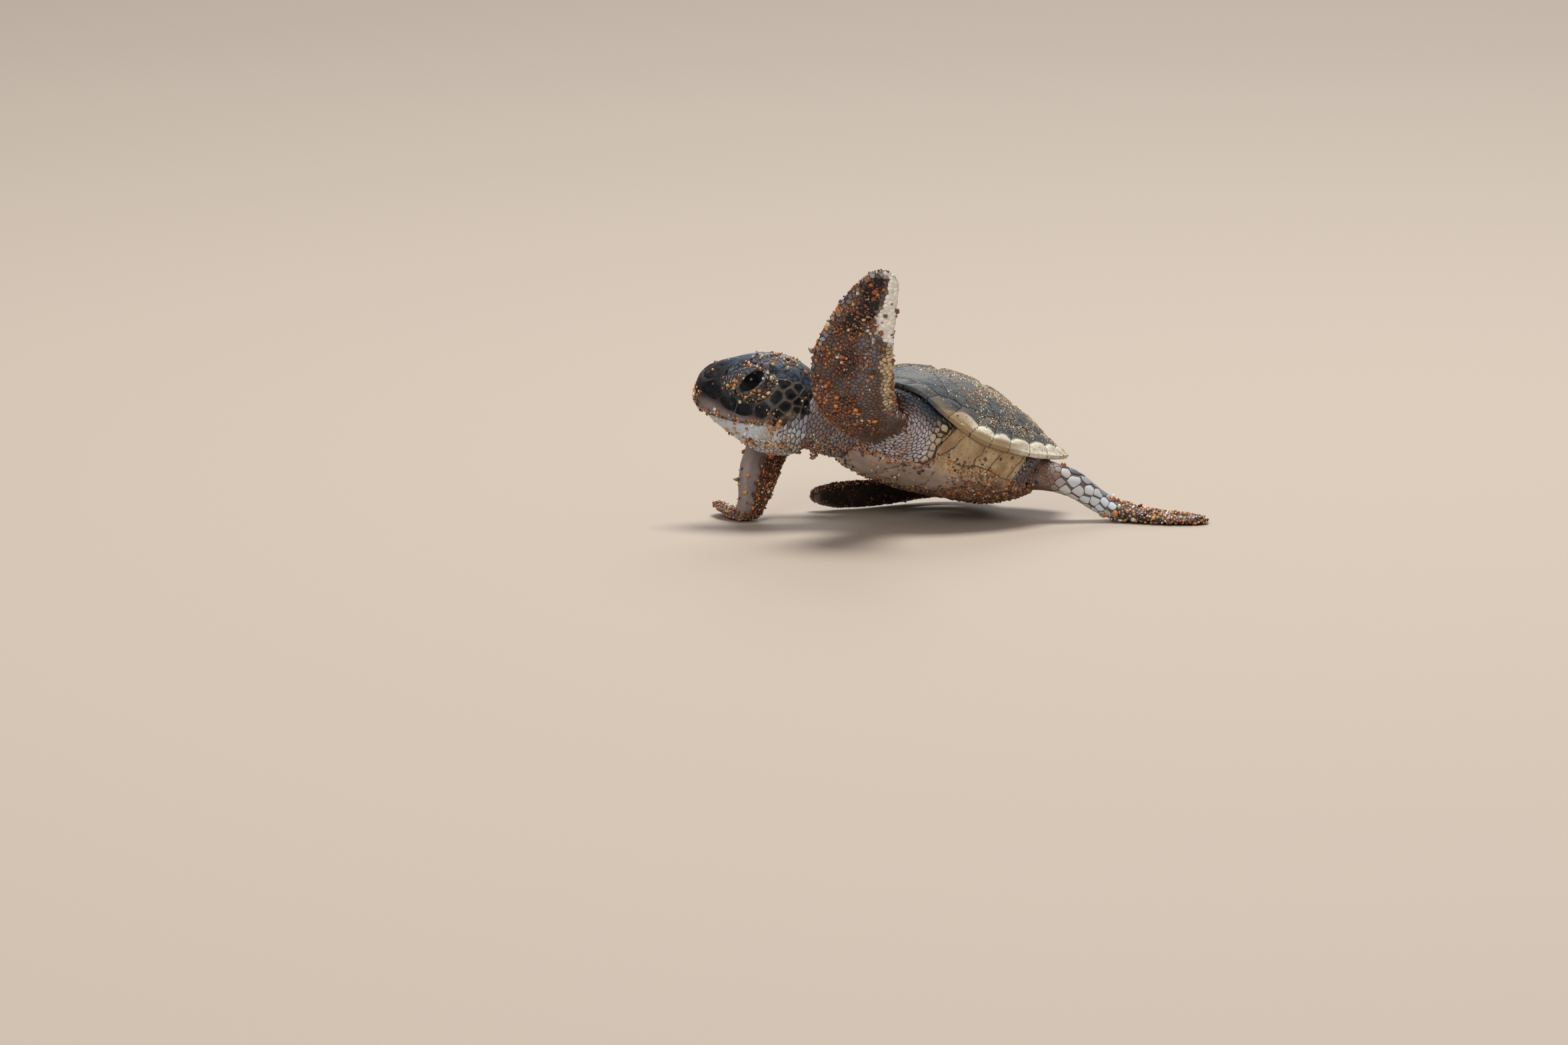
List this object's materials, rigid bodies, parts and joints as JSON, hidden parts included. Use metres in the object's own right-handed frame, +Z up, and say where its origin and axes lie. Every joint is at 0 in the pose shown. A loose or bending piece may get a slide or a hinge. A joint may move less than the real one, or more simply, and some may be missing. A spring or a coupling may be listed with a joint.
{
  "type": "green sea turtle hatchling model",
  "caption": "Life-size still model of a green sea turtle hatchling in mid-crawl: head and one front flipper raised, body carried on its other limbs.",
  "frame": {"origin": "middle of the bounding box, at floor level under the body", "axes": "-X towards the head, +X towards the stretched hind foot along the body's longest extent, -Y to the turtle's left, +Z up"},
  "size_m": [0.089, 0.057, 0.0508],
  "materials": {
    "skin": "pale mauve-grey scaly skin, dark slate on top",
    "head_plates": "blue-black head scales with pale seams, soft sheen",
    "carapace": "slate-grey horn shell with dark seams and a pale cream rim",
    "plastron": "cream to lavender-white horn plates with brown seams",
    "eye": "black, wet gloss",
    "claw": "horn",
    "sand": "loose orange, amber and cream sand grains that cling to the wet animal"
  },
  "bodies": {
    "root": {"head": "head_plates", "lower_jaw": "skin", "neck": "skin", "trunk": "skin", "tail": "skin", "carapace": "carapace", "plastron": "plastron", "eye_left": "eye", "eye_right": "eye", "arm_front_left": "skin", "flipper_front_left": "skin", "arm_front_right": "skin", "flipper_front_right": "skin", "leg_hind_left": "skin", "foot_hind_left": "skin", "leg_hind_right": "skin", "foot_hind_right": "skin", "claw_front_left": "claw", "claw_front_right": "claw"}
  },
  "joints": []
}
